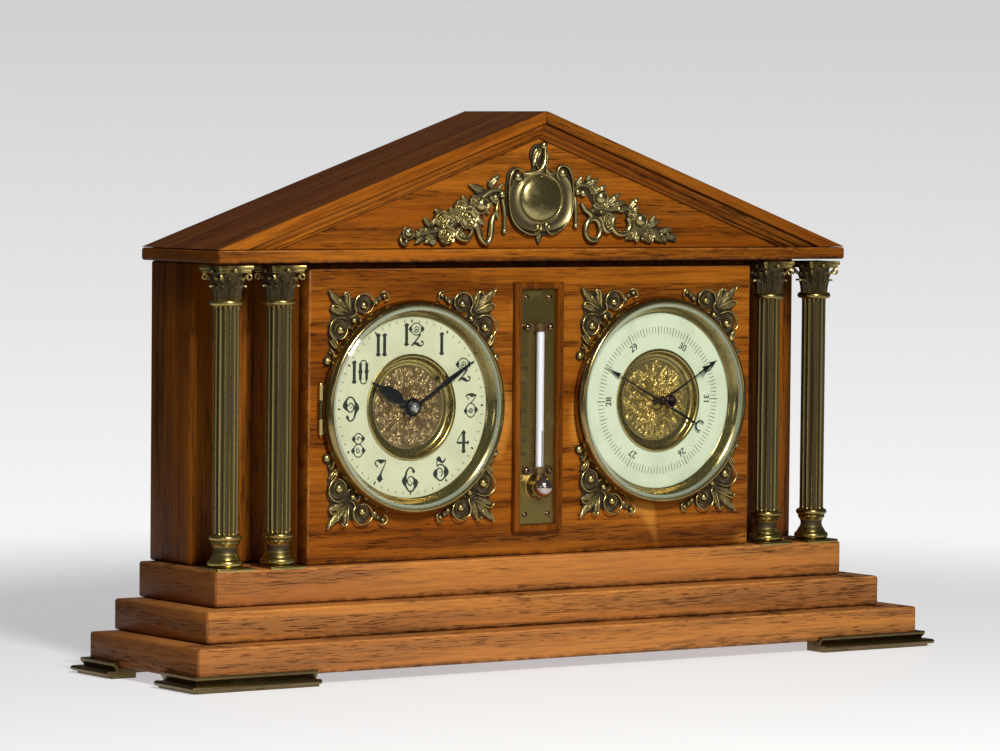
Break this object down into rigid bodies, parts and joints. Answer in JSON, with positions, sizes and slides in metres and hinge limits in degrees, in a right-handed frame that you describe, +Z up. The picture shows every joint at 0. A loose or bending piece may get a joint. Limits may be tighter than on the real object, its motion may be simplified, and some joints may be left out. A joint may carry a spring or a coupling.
{
  "type": "barometer clock",
  "caption": "Desk barometer clock as a small oak temple front with fluted brass columns, a gabled top with a brass mount, a hinged clock bezel, an aneroid barometer and a thermometer.",
  "frame": {"origin": "on the floor, under the middle of the base", "axes": "+X to the right seen from the front, +Y to the back, +Z up; the dials face -Y"},
  "size_m": [0.4848, 0.1232, 0.2959],
  "materials": {
    "oak": "varnished warm brown oak",
    "dark_oak": "plain dark oak",
    "brass": "old lacquered brass",
    "dark_brass": "cast brass with a dark patina",
    "ivory_dial": "ivory, satin",
    "white_dial": "greenish white, satin",
    "blued_steel": "blued, nearly black",
    "steel": "polished",
    "glass": "clear"
  },
  "bodies": {
    "case": {"base_lower_step": "oak", "base_middle_step": "oak", "base_upper_step": "oak", "case_body": "oak", "front_panel": "oak", "back_board": "dark_oak", "cornice_board": "oak", "roof_board_left": "oak", "roof_board_right": "oak", "raking_moulding_left": "oak", "raking_moulding_right": "oak", "tympanum": "oak", "pediment_back": "dark_oak", "thermometer_frame": "oak", "foot_front_left": "brass", "foot_front_right": "brass", "foot_back_left": "brass", "foot_back_right": "brass", "column_outer_left": "dark_brass", "column_inner_left": "dark_brass", "column_inner_right": "dark_brass", "column_outer_right": "dark_brass", "clock_spandrel_top_left": "dark_brass", "clock_spandrel_top_right": "dark_brass", "clock_spandrel_bottom_left": "dark_brass", "clock_spandrel_bottom_right": "dark_brass", "barometer_spandrel_top_left": "dark_brass", "barometer_spandrel_top_right": "dark_brass", "barometer_spandrel_bottom_left": "dark_brass", "barometer_spandrel_bottom_right": "dark_brass", "pediment_cartouche": "dark_brass", "garland_left": "dark_brass", "garland_right": "dark_brass", "clock_dial": "ivory_dial", "clock_dial_centre": "brass", "movement_case": "brass", "movement_front_plate": "brass", "movement_back_plate": "brass", "barometer_bezel": "brass", "barometer_glass": "glass", "barometer_dial": "white_dial", "barometer_dial_centre": "brass", "aneroid_case": "brass", "aneroid_capsule": "brass", "thermometer_plate": "brass", "thermometer_tube": "glass", "thermometer_clip_upper": "brass", "thermometer_clip_lower": "brass"},
    "door": {"clock_bezel": "brass", "clock_glass": "glass"},
    "barrel": {"mainspring_barrel": "brass"},
    "minute_arbor": {"centre_arbor": "steel", "minute_hand": "blued_steel", "setting_knob": "brass"},
    "minute_wheel": {"minute_wheel": "brass"},
    "hour_wheel": {"hour_wheel": "brass", "hour_hand": "blued_steel"},
    "winding_arbor": {"winding_key": "steel"},
    "pressure_hand": {"pressure_hand": "blued_steel"},
    "set_hand": {"set_hand": "dark_brass"}
  },
  "joints": [
    {"name": "door_hinge", "type": "hinge", "parent": "case", "child": "door", "pos_m": [-0.1386, -0.0171, 0.139], "axis": [0, 0, -1], "range_deg": [0, 95]},
    {"name": "barrel_spin", "type": "hinge", "parent": "case", "child": "barrel", "pos_m": [-0.0812, 0, 0.119], "axis": [0, 1, 0], "continuous": true},
    {"name": "minute_spin", "type": "hinge", "parent": "case", "child": "minute_arbor", "pos_m": [-0.0812, 0, 0.139], "axis": [0, 1, 0], "continuous": true},
    {"name": "minute_wheel_spin", "type": "hinge", "parent": "case", "child": "minute_wheel", "pos_m": [-0.07201, 0, 0.14671], "axis": [0, 1, 0], "continuous": true},
    {"name": "hour_spin", "type": "hinge", "parent": "case", "child": "hour_wheel", "pos_m": [-0.0812, 0, 0.139], "axis": [0, 1, 0], "continuous": true},
    {"name": "key_turn", "type": "hinge", "parent": "case", "child": "winding_arbor", "pos_m": [-0.0812, 0, 0.119], "axis": [0, 1, 0], "continuous": true},
    {"name": "pressure_turn", "type": "hinge", "parent": "case", "child": "pressure_hand", "pos_m": [0.0812, 0, 0.139], "axis": [0, 1, 0], "range_deg": [-147, 152]},
    {"name": "set_turn", "type": "hinge", "parent": "case", "child": "set_hand", "pos_m": [0.0812, 0, 0.139], "axis": [0, 1, 0], "continuous": true}
  ],
  "couplings": [
    {"joint": "minute_spin", "follows": "barrel_spin", "ratio": -6},
    {"joint": "minute_wheel_spin", "follows": "barrel_spin", "ratio": 2},
    {"joint": "hour_spin", "follows": "barrel_spin", "ratio": -0.5}
  ]
}
